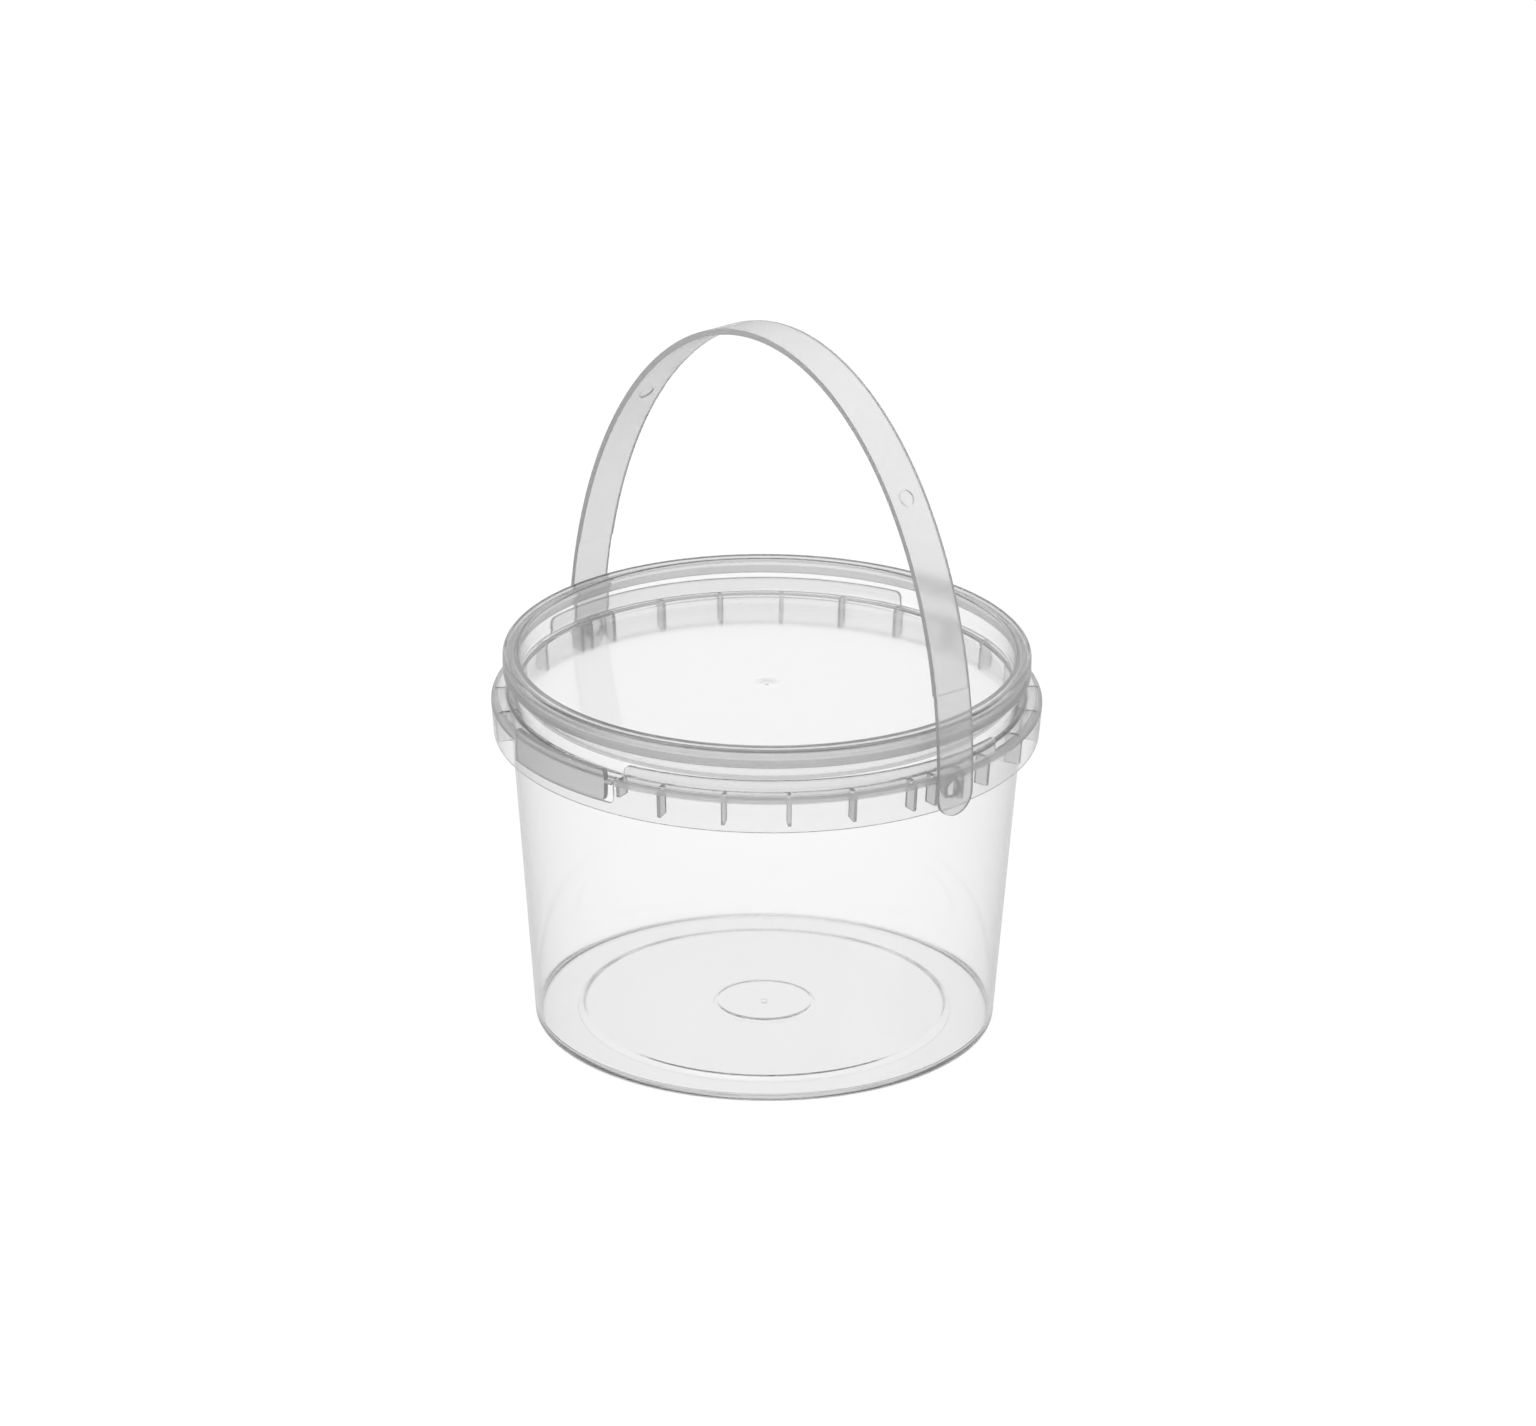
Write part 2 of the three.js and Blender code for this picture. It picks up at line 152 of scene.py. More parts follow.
def what_the_eye_sees(tree):
    """1 for rays from the camera and for those that gloss or clear plastic sends on."""
    path = Wire(tree).node("ShaderNodeLightPath").outputs
    straight = Wire(tree, path["Is Camera Ray"])
    return (straight + path["Is Glossy Ray"] + path["Is Transmission Ray"]).clamped()


def mirrored_dimming(tree, darkness):
    """The part of their light that the surroundings keep where the plastic mirrors them."""
    depth = Wire(tree, Wire(tree).node("ShaderNodeLightPath").outputs["Glossy Depth"])
    return 1.0 - depth.clamped() * darkness


sky = bpy.data.worlds.new("white_sky")
sky.use_nodes = True
sky_tree = sky.node_tree
sky_wire = Wire(sky_tree)
sky_seen = what_the_eye_sees(sky_tree)
sky_level = sky_seen * (1.0 - SKY_LIGHT) + SKY_LIGHT
direction = sky_wire.node("ShaderNodeTexCoord").outputs["Generated"]
split_direction = sky_wire.node("ShaderNodeSeparateXYZ", Vector=direction)
upwards = Wire(sky_tree, split_direction.outputs["Z"])
sky_path = sky_wire.node("ShaderNodeLightPath")
bent = Wire(sky_tree, sky_path.outputs["Is Transmission Ray"])
overhead = (upwards * CEILING_EDGE).clamped()
sky_shader = sky_tree.nodes["Background"]
sky_shader.inputs["Color"].default_value = WHITE
sky_dimmed = mirrored_dimming(sky_tree, SKY_MIRRORED_DARK)
sky_level = sky_level * (1.0 - bent * overhead * CEILING_DARK) * sky_dimmed
sky_wire.feed(sky_shader.inputs["Strength"], sky_level)
bpy.context.scene.world = sky

bpy.ops.object.select_all(action="DESELECT")
bpy.ops.mesh.primitive_circle_add(
    vertices=FLOOR_SIDES, radius=FLOOR_REACH, fill_type="NGON", location=(0, 0, -FLOOR_GAP)
)
bpy.ops.object.transform_apply(location=True, rotation=False, scale=False)
floor = bpy.context.object
floor.name = "studio_floor"
floor_paint = bpy.data.materials.new("studio_floor")
floor_paint.use_nodes = True
floor_tree = floor_paint.node_tree
floor_tree.nodes.clear()
floor_wire = Wire(floor_tree)
floor_seen = what_the_eye_sees(floor_tree)
floor_dimmed = mirrored_dimming(floor_tree, FLOOR_MIRRORED_DARK)
shade = (floor_seen * (FLOOR_SEEN - FLOOR_COLOUR) + FLOOR_COLOUR) * floor_dimmed
matt = floor_wire.node("ShaderNodeBsdfDiffuse", Color=shade)
glow_level = floor_seen * floor_dimmed * FLOOR_LIFT
glow = floor_wire.node("ShaderNodeEmission", Strength=glow_level)
both = floor_wire.node("ShaderNodeAddShader")
floor_tree.links.new(matt.outputs[0], both.inputs[0])
floor_tree.links.new(glow.outputs[0], both.inputs[1])
floor_wire.node("ShaderNodeOutputMaterial", Surface=both.outputs[0])
floor.data.materials.append(floor_paint)


def soft_lamp(name, azimuth, elevation, distance, size, watts):
    """A square lamp that faces the pail from an azimuth and elevation in degrees."""
    turn, rise = math.radians(azimuth), math.radians(elevation)
    flat = math.cos(rise)
    towards = Vector((math.sin(turn) * flat, -math.cos(turn) * flat, math.sin(rise)))
    lamp = bpy.data.lights.new(name, "AREA")
    lamp.size = size
    lamp.energy = watts
    lamp.use_shadow = False
    holder = bpy.data.objects.new(name, lamp)
    holder.location = PAIL_MIDDLE + towards * distance
    holder.rotation_euler = towards.to_track_quat("Z", "Y").to_euler()
    bpy.context.scene.collection.objects.link(holder)


soft_lamp("overhead_lamp", azimuth=20, elevation=72, distance=3.0, size=2.6, watts=16.0)
soft_lamp("front_lamp", azimuth=-10, elevation=35, distance=3.4, size=1.7, watts=8.0)

# The tub: one injection moulding in clear polypropylene, about 1 mm thick all over. Its
# drafted wall stands on a flat foot ring, and a web goes out from the neck to the short
# ribbed skirt. The mould's gate leaves a short stub under the middle of the raised disc.
TURN_STEPS = 240
ROUND_STEPS = 5
MERGE_DISTANCE = 0.001 * MM
RING_SLACK = 0.004 * MM
tub_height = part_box("pail_body")[1].z
base_radius = 55.9 * MM
base_round = 0.6 * MM
wall_draft = math.tan(math.radians(4.41))
tub_wall = 1.05 * MM
floor_thick = 1.05 * MM
floor_round = 1.5 * MM
foot_inner = base_radius - 10.9 * MM
foot_rise = 0.8 * MM
foot_slope = 1.4 * MM
foot_step_round = 0.9 * MM
disc_radius = 11.5 * MM
disc_rise = 0.3 * MM
disc_slope = 0.8 * MM
disc_step_round = 0.5 * MM
stub_radius = 0.8 * MM
stub = 0.6 * MM
web_top = tub_height - 9.5 * MM
web_bottom = web_top - 0.9 * MM
web_corner_round = 0.25 * MM
neck_radius = base_radius + web_top * wall_draft
neck_inner = neck_radius - tub_wall
neck_fillet = 1.0 * MM
skirt_radius = neck_radius + 4.35 * MM
skirt_wall = 0.9 * MM
skirt_draft = math.tan(math.radians(4.5))
skirt_bottom = web_top - 9.3 * MM
skirt_top_round = 1.7 * MM
skirt_inner_round = 0.8 * MM
skirt_lip_round = 0.2 * MM
bead_height = tub_height - 0.6 * MM
bead_span = 0.9 * MM
bead = 0.35 * MM
bead_round = 0.1 * MM
rim_outer_round = 0.25 * MM
rim_inner_round = 0.4 * MM


def tub_radius_at(height):
    return base_radius + height * wall_draft


def skirt_radius_at(height):
    return skirt_radius - (web_top - height) * skirt_draft


def pick(kind, chosen):
    """Leaves selected, in edit mode, only the vertices, edges or faces that chosen wants."""
    bpy.ops.mesh.select_mode(type=kind)
    bpy.ops.mesh.select_all(action="DESELECT")
    shape = bmesh.from_edit_mesh(bpy.context.edit_object.data)
    for part in {"VERT": shape.verts, "EDGE": shape.edges, "FACE": shape.faces}[kind]:
        if chosen(part):
            part.select_set(True)
    bmesh.update_edit_mesh(bpy.context.edit_object.data)


def on_ring(vertex, radius, height):
    away = math.hypot(vertex.co.x, vertex.co.y) - radius
    return abs(away) < RING_SLACK and abs(vertex.co.z - height) < RING_SLACK


def extrude_rings(outline):
    """Carries the selected ring of edges on along an outline of (radius, height, round)."""
    for (radius, height, _), (next_radius, next_height, _) in zip(outline, outline[1:]):
        bpy.ops.mesh.extrude_edges_move(
            TRANSFORM_OT_translate={"value": (0, 0, next_height - height)}
        )
        grown = next_radius / radius
        bpy.ops.transform.resize(
            value=(grown, grown, 1), center_override=(0, 0, next_height)
        )


def round_corner(before, corner, after):
    """Rounds one ring of a turned shape, to the radius that the outline gives it."""
    radius, height, rounding = corner
    side_in = Vector((before[0] - radius, before[1] - height)).normalized()
    side_out = Vector((after[0] - radius, after[1] - height)).normalized()
    half = side_in.angle(side_out) / 2
    pick("EDGE", lambda edge: all(on_ring(v, radius, height) for v in edge.verts))
    bpy.ops.mesh.bevel(
        offset=rounding / math.tan(half),
        segments=ROUND_STEPS,
        profile=0.5,
        clamp_overlap=False,
    )


def turned_solid(name, outline):
    """A shape turned about the pail's axis. Its outline starts and ends near the axis, and
    each end is closed with a flat cap."""
    first_radius, first_height, _ = outline[0]
    bpy.ops.object.select_all(action="DESELECT")
    bpy.ops.mesh.primitive_circle_add(
        vertices=TURN_STEPS, radius=first_radius, location=(0, 0, first_height)
    )
    bpy.ops.object.transform_apply(location=True, rotation=False, scale=False)
    piece = bpy.context.object
    piece.name = name
    bpy.ops.object.mode_set(mode="EDIT")
    bpy.ops.mesh.select_all(action="SELECT")
    extrude_rings(outline)
    for radius, height, _ in (outline[-1], outline[0]):
        pick("EDGE", lambda edge: all(on_ring(v, radius, height) for v in edge.verts))
        bpy.ops.mesh.extrude_edges_move()
        bpy.ops.mesh.merge(type="CENTER")
    for before, corner, after in zip(outline, outline[1:], outline[2:]):
        if corner[2] > 0:
            round_corner(before, corner, after)
    bpy.ops.mesh.select_all(action="SELECT")
    bpy.ops.mesh.remove_doubles(threshold=MERGE_DISTANCE)
    bpy.ops.mesh.normals_make_consistent(inside=False)
    bpy.ops.object.mode_set(mode="OBJECT")
    return piece


tub_outline = [
    (stub_radius, foot_rise + disc_rise - stub, 0),
    (stub_radius, foot_rise + disc_rise, 0),
    (disc_radius, foot_rise + disc_rise, disc_step_round),
    (disc_radius + disc_slope, foot_rise, disc_step_round),
    (foot_inner - foot_slope, foot_rise, foot_step_round),
    (foot_inner, 0, foot_step_round),
    (base_radius, 0, base_round),
    (tub_radius_at(web_bottom), web_bottom, web_corner_round),
    (skirt_radius_at(web_bottom) - skirt_wall, web_bottom, skirt_inner_round),
    (skirt_radius_at(skirt_bottom) - skirt_wall, skirt_bottom, skirt_lip_round),
    (skirt_radius_at(skirt_bottom), skirt_bottom, skirt_lip_round),
    (skirt_radius, web_top, skirt_top_round),
    (neck_radius, web_top, neck_fillet),
    (neck_radius, bead_height - bead_span, 0),
    (neck_radius + bead, bead_height, bead_round),
    (neck_radius, tub_height, rim_outer_round),
    (neck_inner, tub_height, rim_inner_round),
    (neck_inner, web_top, 0),
    (tub_radius_at(floor_thick) - tub_wall, floor_thick, floor_round),
    (foot_inner + foot_slope - foot_rise, floor_thick, foot_step_round),
    (foot_inner - foot_rise, floor_thick + foot_rise, foot_step_round),
    (disc_radius + disc_slope, floor_thick + foot_rise, disc_step_round),
    (disc_radius, floor_thick + foot_rise + disc_rise, disc_step_round),
    (stub_radius, floor_thick + foot_rise + disc_rise, 0),
]
pail_shell = turned_solid("pail_shell", tub_outline)


def combine(piece, other, operation):
    """Joins another shape to a piece, or cuts it out, and does away with the other one."""
    bpy.ops.object.select_all(action="DESELECT")
    bpy.context.view_layer.objects.active = piece
    piece.select_set(True)
    modifier = piece.modifiers.new(operation.lower(), "BOOLEAN")
    modifier.operation = operation
    modifier.solver = "MANIFOLD"
    modifier.object = other
    bpy.ops.object.modifier_apply(modifier=modifier.name)
    bpy.data.objects.remove(other)


def block(name, low, high):
    """A cube drawn out to a box between two corners, left as the active object."""
    middle, sides = (low + high) / 2, high - low
    bpy.ops.object.select_all(action="DESELECT")
    bpy.ops.mesh.primitive_cube_add(size=1, location=middle, scale=sides)
    bpy.ops.object.transform_apply(location=True, rotation=False, scale=True)
    bpy.context.object.name = name
    return bpy.context.object


def round_edges(chosen, size, steps):
    """Rounds the chosen edges of the active object."""
    bpy.ops.object.mode_set(mode="EDIT")
    pick("EDGE", chosen)
    bpy.ops.mesh.bevel(offset=size, segments=steps, profile=0.5, clamp_overlap=False)
    bpy.ops.object.mode_set(mode="OBJECT")


# The ribs are thin plates between the wall and the skirt, in a front and a rear run of
# half a turn, with none behind the tear tab. At each peg two plates closer together are
# the sides of its socket, and one short plate stands beside the tab's free end.
RIBS_IN_RUN = 13
RIB_PITCH = 13.75
RUN_STARTS = (-8.7, 163.3)
CLOSE = 0.01 * MM
bury = 0.3 * MM
rib = 0.9 * MM
rib_bottom = skirt_bottom + 1.5 * MM
rib_edge_round = 0.15 * MM
rib_inner = 61.3 * MM
rib_outer = skirt_radius - skirt_wall
socket_half = 3.9 * MM
socket_clear = 3.0 * MM
tab_from, tab_to = -104.9, -76.1
tab_root_clear = 1.0
slot_rib_turn = tab_to + 3.0
slot_rib_bottom = rib_bottom + 3.2 * MM


def is_level_at(edge, height):
    return all(abs(v.co.z - height) < CLOSE for v in edge.verts)


rib_plate = block(
    "rib_plate",
    Vector((rib_inner, -rib / 2, rib_bottom)),
    Vector((rib_outer, rib / 2, web_bottom + bury)),
)
round_edges(lambda edge: is_level_at(edge, rib_bottom), rib_edge_round, steps=2)
socket_turn = math.degrees(math.asin(socket_half / skirt_radius))
rib_turns = [socket_turn, -socket_turn, 180 - socket_turn, 180 + socket_turn]
rib_turns.append(slot_rib_turn)
for run_start in RUN_STARTS:
    for number in range(RIBS_IN_RUN):
        turn = run_start - RIB_PITCH * number
        from_pivot_axis = abs(math.sin(math.radians(turn))) * skirt_radius
        beside_peg = from_pivot_axis < socket_half + socket_clear
        behind_tab = tab_from - tab_root_clear < turn < slot_rib_turn
        if not beside_peg and not behind_tab:
            rib_turns.append(turn)
ribs = []
for turn in rib_turns:
    plate = rib_plate.copy()
    plate.data = rib_plate.data.copy()
    if turn == slot_rib_turn:
        for vertex in plate.data.vertices:
            vertex.co.z = max(vertex.co.z, slot_rib_bottom)
    plate.data.transform(Matrix.Rotation(math.radians(turn), 4, "Z"))
    bpy.context.scene.collection.objects.link(plate)
    ribs.append(plate)
bpy.data.objects.remove(rib_plate)
bpy.ops.object.select_all(action="DESELECT")
for plate in ribs:
    plate.select_set(True)
bpy.context.view_layer.objects.active = ribs[0]
bpy.ops.object.join()
combine(pail_shell, bpy.context.object, "UNION")


def swept_block(name, inner, outer, bottom, top, from_turn, to_turn, steps):
    """A box section in (radius, height) swept round the pail's axis between two angles."""
    bpy.ops.object.select_all(action="DESELECT")
    bpy.ops.mesh.primitive_plane_add(size=1)
    piece = bpy.context.object
    piece.name = name
    bpy.ops.object.mode_set(mode="EDIT")
    shape = bmesh.from_edit_mesh(piece.data)
    start = Matrix.Rotation(math.radians(from_turn), 3, "Z")
    for vertex in shape.verts:
        radius = inner if vertex.co.x < 0 else outer
        height = bottom if vertex.co.y < 0 else top
        vertex.co = start @ Vector((radius, 0, height))
    bmesh.update_edit_mesh(piece.data)
    bpy.ops.mesh.select_all(action="SELECT")
    bpy.ops.mesh.spin(
        steps=steps,
        angle=math.radians(from_turn - to_turn),
        center=(0, 0, 0),
        axis=(0, 0, 1),
    )
    bpy.ops.mesh.select_all(action="SELECT")
    bpy.ops.mesh.remove_doubles(threshold=MERGE_DISTANCE)
    bpy.ops.mesh.normals_make_consistent(inside=False)
    bpy.ops.object.mode_set(mode="OBJECT")
    return piece


# The guard is a low wall on the web in front of the lid's edge, over one stretch beside
# the tear tab and one opposite. Its top corners are rounded at both ends.
GUARD_STEPS = 64
CORNER_STEPS = 6
SAME_TURN = 0.01
END_SLACK = 1e-4
guard_outer = skirt_radius - 0.9 * MM
guard_inner = guard_outer - 0.8 * MM
guard_top = web_top + 3.9 * MM
guard_from, guard_to = -71.8, 14.8
guard_end_round = 1.6 * MM


def turn_of(vertex):
    return math.degrees(math.atan2(vertex.co.y, vertex.co.x))


def is_across_at(edge, height):
    """True for an edge that runs from the axis outwards at this height."""
    first, second = edge.verts
    return abs(turn_of(first) - turn_of(second)) < SAME_TURN and is_level_at(edge, height)


def is_at_guard_end(edge):
    """True at both ends of either guard, because a sine is zero again half a turn on."""
    middle = (edge.verts[0].co + edge.verts[1].co) / 2
    middle_turn = math.atan2(middle.y, middle.x)
    ends = (math.radians(guard_from), math.radians(guard_to))
    return any(abs(math.sin(middle_turn - end)) < END_SLACK for end in ends)


for half_turn in (0, 180):
    guard = swept_block(
        "guard",
        inner=guard_inner,
        outer=guard_outer,
        bottom=web_top - bury,
        top=guard_top,
        from_turn=guard_from + half_turn,
        to_turn=guard_to + half_turn,
        steps=GUARD_STEPS,
    )
    round_edges(
        lambda edge: is_across_at(edge, guard_top) and is_at_guard_end(edge),
        guard_end_round,
        CORNER_STEPS,
    )
    combine(pail_shell, guard, "UNION")

# The tear tab's slot goes through the web and down into the skirt, with a rounded lower
# end. A round hole on each side takes the peg of the handle.
TAB_STEPS = 32
TAB_CORNER_STEPS = 8
overrun = 2 * MM
tab_gap = 0.3 * MM
tab_end_gap = 2.4 * MM
tab_bottom = skirt_bottom + 3.0 * MM
tab_top = web_top + 1.7 * MM
tab_inner = skirt_radius_at(tab_bottom) - 1.1 * MM
tab_round = 2.0 * MM
slot_bottom = tab_bottom - tab_gap
slot_from = tab_from - math.degrees(tab_gap / skirt_radius)
slot_to = tab_to + math.degrees(tab_end_gap / skirt_radius)
slot = swept_block(
    "tab_slot",
    inner=tab_inner - tab_gap,
    outer=skirt_radius + overrun,
    bottom=slot_bottom,
    top=guard_top + overrun,
    from_turn=slot_from,
    to_turn=slot_to,
    steps=TAB_STEPS,
)


def is_at_turn(edge, turn):
    return abs(turn_of(edge.verts[0]) - turn) < SAME_TURN


round_edges(
    lambda edge: is_across_at(edge, slot_bottom) and is_at_turn(edge, slot_to),
    tab_round + tab_gap,
    TAB_CORNER_STEPS,
)
combine(pail_shell, slot, "DIFFERENCE")

BAR_SIDES = 46
pivot_height = web_top - 3.9 * MM
peg_radius = 2.2 * MM
hole_radius = peg_radius + 0.3 * MM
hole_from = tub_radius_at(pivot_height) + 0.4 * MM
hole_to = skirt_radius + overrun


def bar(name, from_x, to_x, from_radius, to_radius):
    """A round bar along X at the height of the pivots, wider at one end if need be."""
    bpy.ops.object.select_all(action="DESELECT")
    bpy.ops.mesh.primitive_cone_add(
        vertices=BAR_SIDES,
        radius1=from_radius,
        radius2=to_radius,
        depth=abs(to_x - from_x),
        location=((from_x + to_x) / 2, 0, pivot_height),
        rotation=(0, math.copysign(math.pi / 2, to_x - from_x), 0),
    )
    bpy.ops.object.transform_apply(location=True, rotation=True, scale=False)
    bpy.context.object.name = name
    return bpy.context.object


for side in (1, -1):
    hole = bar("peg_hole", side * hole_from, side * hole_to, hole_radius, hole_radius)
    combine(pail_shell, hole, "DIFFERENCE")

SHARP_ANGLE = math.radians(35)


def finish_surface(piece):
    """Smooth shading that follows the flat and round faces and keeps the sharp edges."""
    bpy.ops.object.select_all(action="DESELECT")
    bpy.context.view_layer.objects.active = piece
    piece.select_set(True)
    bpy.ops.object.shade_smooth_by_angle(angle=SHARP_ANGLE)
    modifier = piece.modifiers.new("even_faces", "WEIGHTED_NORMAL")
    modifier.keep_sharp = True
    bpy.ops.object.modifier_apply(modifier=modifier.name)


finish_surface(pail_shell)

# The tub's finish. The plastic is clear with a little milk in it, and more of it where
# the wall is seen end on. The ribs, the collar and the edge of the foot get extra milk
# and grey: painted shade that sets how grey each of them looks.
PLASTIC_IOR = 1.49
MILKY_TRANSMISSION = 0.5
ABSORPTION = 2.0
BLACK = (0.0, 0.0, 0.0, 1.0)
MOTTLE = 25 * MM
MOTTLE_DETAIL = 3.0
MOTTLE_DEPTH = 0.2
MILKY_ROUGHNESS = 0.5
MILKY_ROUGHNESS_SPREAD = 0.1
GRAIN_SCALE = 2200.0
GRAIN_DETAIL = 2.0
GRAIN_STRENGTH = 0.04
GRAIN_HEIGHT = 0.0001
BAND_EDGE = 5.0 / MM


def moulded_plastic(name, milk, edge_milk, grey, roughness, mottle=MOTTLE, painted_shade_bands=()):
    """Clear moulded plastic: it bends light as polypropylene does, under a little milk that
    thickens edge on, with the faint clouds and grain of a thin moulding. Each band is
    (low, high, milk) and adds its milk between two heights, as painted shade."""
    material = bpy.data.materials.new(name)
    material.use_nodes = True
    tree = material.node_tree
    tree.nodes.clear()
    wire = Wire(tree)
    place = wire.node("ShaderNodeTexCoord").outputs["Object"]
    cloud = wire.node(
        "ShaderNodeTexNoise", Vector=place, Scale=1 / mottle, Detail=MOTTLE_DETAIL
    )
    clouding = Wire(tree, cloud.outputs[0])
    facing = Wire(tree, wire.node("ShaderNodeLayerWeight", Blend=0.5).outputs["Facing"])
    height = Wire(tree, wire.node("ShaderNodeSeparateXYZ", Vector=place).outputs["Z"])
    cover = milk + facing * edge_milk
    for low, high, more in painted_shade_bands:
        above = ((height - low) * BAND_EDGE).clamped()
        below = ((high - height) * BAND_EDGE).clamped()
        cover = cover + above * below * more
    cover = (cover * (clouding * MOTTLE_DEPTH + (1.0 - MOTTLE_DEPTH / 2))).clamped()
    grain = wire.node(
        "ShaderNodeTexNoise", Vector=place, Scale=GRAIN_SCALE, Detail=GRAIN_DETAIL
    )
    bump = wire.node(
        "ShaderNodeBump",
        Height=grain.outputs[0],
        Strength=GRAIN_STRENGTH,
        Distance=GRAIN_HEIGHT,
    )
    clear = wire.node(
        "ShaderNodeBsdfPrincipled",
        Base_Color=WHITE,
        Roughness=roughness,
        IOR=PLASTIC_IOR,
        Transmission_Weight=1.0,
    )
    milky = wire.node(
        "ShaderNodeBsdfPrincipled",
        Base_Color=(grey, grey, grey, 1.0),
        Roughness=clouding * MILKY_ROUGHNESS_SPREAD + MILKY_ROUGHNESS,
        IOR=PLASTIC_IOR,
        Transmission_Weight=MILKY_TRANSMISSION,
        Normal=bump.outputs[0],
    )
    surface = wire.node("ShaderNodeMixShader", Fac=cover)
    tree.links.new(clear.outputs[0], surface.inputs[1])
    tree.links.new(milky.outputs[0], surface.inputs[2])
    depths = wire.node("ShaderNodeVolumeAbsorption", Color=BLACK, Density=ABSORPTION)
    wire.node(
        "ShaderNodeOutputMaterial", Surface=surface.outputs[0], Volume=depths.outputs[0]
    )
    return material


def dress(piece, material, body, slot_name, *nodes):
    """Gives a piece its finish, and puts it in the place of its CAD nodes."""
    piece.data.materials.clear()
    piece.data.materials.append(material)
    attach(piece, body)
    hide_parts(*nodes)


tub_plastic = moulded_plastic(
    "tub_plastic", milk=0.01, edge_milk=0.03, grey=0.55, roughness=0.04
)
dress(pail_shell, tub_plastic, "tub", "tub_plastic", "pail_body")
# Painted shade: the ribs and the skirt's lip are milkier and greyer than the wall, for the
# grey they show through the skirt.
rib_painted_shade = moulded_plastic(
    "rib_painted_shade", milk=0.28, edge_milk=0.1, grey=0.85, roughness=0.1
)
# Painted shade: the collar is a little milkier than the wall, with grey bands of extra milk
# below the web's top, on the guard and along the guard's top.
web_painted_shade_band = (web_top - 1.9 * MM, web_top - 0.1 * MM, 0.5)
guard_painted_shade_band = (web_top - 0.1 * MM, guard_top + 1 * MM, 0.1)
guard_top_painted_shade_band = (guard_top - 0.5 * MM, guard_top + 1 * MM, 0.12)
collar_painted_shade = moulded_plastic(
    "collar_painted_shade",
    milk=0.05,
    edge_milk=0.03,
    grey=0.55,
    roughness=0.04,
    painted_shade_bands=(web_painted_shade_band, guard_painted_shade_band, guard_top_painted_shade_band),
)
# Painted shade: the foot's lower edge is made milky and nearly white, to set the grey of the
# line along the pail's bottom edge.
foot_edge_painted_shade = moulded_plastic(
    "foot_edge_painted_shade", milk=0.9, edge_milk=0.1, grey=0.95, roughness=0.2
)
for material in (rib_painted_shade, collar_painted_shade, foot_edge_painted_shade):
    pail_shell.data.materials.append(material)

# The faces of the ribs and lip, the collar and the foot's edge take the painted shade
# finishes.
RIB_PAINTED_SHADE_SLOT, COLLAR_PAINTED_SHADE_SLOT, FOOT_EDGE_PAINTED_SHADE_SLOT = 1, 2, 3
FACING_ENOUGH = 0.6
lip_height = 0.1 * MM
collar_from = neck_radius + 2 * MM
foot_edge_width = 0.65 * MM
foot_edge_height = 1.0 * MM


def is_rib_or_lip(face):
    """True for the flat sides and the lower edge of a rib, and for the skirt's lower lip."""
    if abs(face.center.z - skirt_bottom) < lip_height:
        return True
    away = math.hypot(face.center.x, face.center.y)
    tangent = Vector((-face.center.y, face.center.x, 0)) / away
    inner_wall = skirt_radius_at(face.center.z) - skirt_wall
    inside = tub_radius_at(face.center.z) < away < inner_wall
    low = rib_bottom - CLOSE < face.center.z < web_bottom
    sideways = abs(face.normal.dot(tangent)) > FACING_ENOUGH
    return inside and low and (sideways or face.normal.z < -FACING_ENOUGH)


def is_collar(face):
    return math.hypot(face.center.x, face.center.y) > collar_from


def is_foot_edge(face):
    away = math.hypot(face.center.x, face.center.y)
    return away > base_radius - foot_edge_width and face.center.z < foot_edge_height


for face in pail_shell.data.polygons:
    if is_rib_or_lip(face):
        face.material_index = RIB_PAINTED_SHADE_SLOT
    elif is_collar(face):
        face.material_index = COLLAR_PAINTED_SHADE_SLOT
    elif is_foot_edge(face):
        face.material_index = FOOT_EDGE_PAINTED_SHADE_SLOT

# The tear tab: a strip of the skirt's own plastic, thick enough to grip, that is bent
# out at its free end and torn off. A thin bridge holds that end until the first pull.
BRIDGE_STEPS = 4
bridge_top = tab_top - 2.6 * MM
bridge_bottom = bridge_top - 0.7 * MM
bridge_bury_turn = 0.3
tear_strip = swept_block(
    "tear_strip",
    inner=tab_inner,
    outer=skirt_radius,
    bottom=tab_bottom,
    top=tab_top,
    from_turn=tab_from,
    to_turn=tab_to,
    steps=TAB_STEPS,
)


def is_at_tab_corner(edge):
    at_top_or_bottom = is_across_at(edge, tab_bottom) or is_across_at(edge, tab_top)
    return at_top_or_bottom and is_at_turn(edge, tab_to)


round_edges(is_at_tab_corner, tab_round, TAB_CORNER_STEPS)
bridge = swept_block(
    "bridge",
    inner=tab_inner,
    outer=skirt_radius_at(bridge_top),
    bottom=bridge_bottom,
    top=bridge_top,
    from_turn=tab_to - bridge_bury_turn,
    to_turn=slot_to - math.degrees(tab_gap / skirt_radius),
    steps=BRIDGE_STEPS,
)
combine(tear_strip, bridge, "UNION")
finish_surface(tear_strip)
# Painted shade: the tab is milkier and greyer than the skirt, for the layers of plastic seen
# behind it.
tab_painted_shade = moulded_plastic(
    "tab_painted_shade", milk=0.38, edge_milk=0.2, grey=0.55, roughness=0.1
)
dress(tear_strip, tab_painted_shade, "tab", "tub_plastic", "tear_tab")

